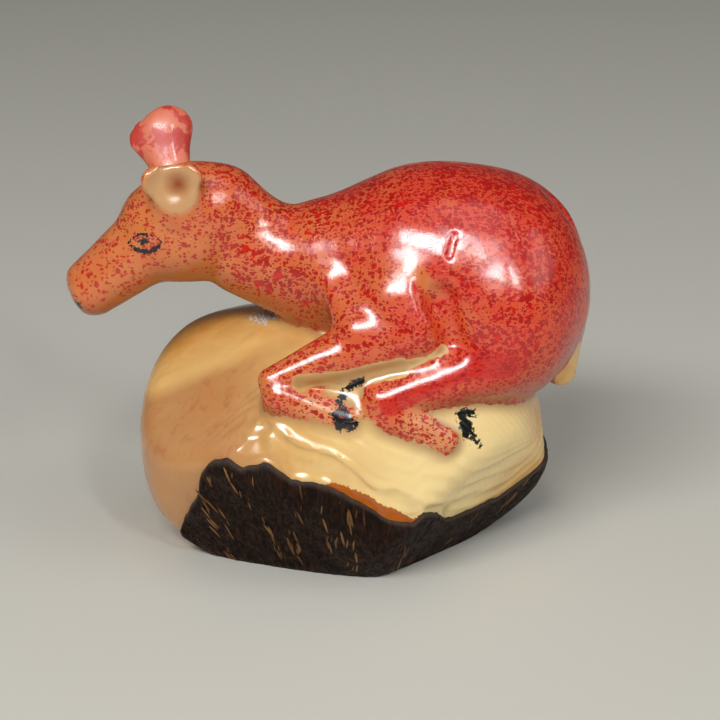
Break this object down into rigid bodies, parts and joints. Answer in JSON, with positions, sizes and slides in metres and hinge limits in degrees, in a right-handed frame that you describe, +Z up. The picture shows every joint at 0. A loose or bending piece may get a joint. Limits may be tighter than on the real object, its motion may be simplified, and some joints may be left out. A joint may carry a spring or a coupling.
{
  "type": "deer carving ornament",
  "caption": "Polished vegetable-ivory deer lying with folded legs, carved with its rounded ground from one nut, dark seed coat left round the underside.",
  "frame": {"origin": "middle of the carving's bounds, on the plane of its flat underside", "axes": "+X from the deer's nose to its rump, +Y from the side seen in the picture to the far side, +Z up"},
  "size_m": [0.0564, 0.0338, 0.0477],
  "materials": {
    "tagua": "gloss"
  },
  "bodies": {
    "root": {"deer_carving": "tagua"}
  },
  "joints": []
}
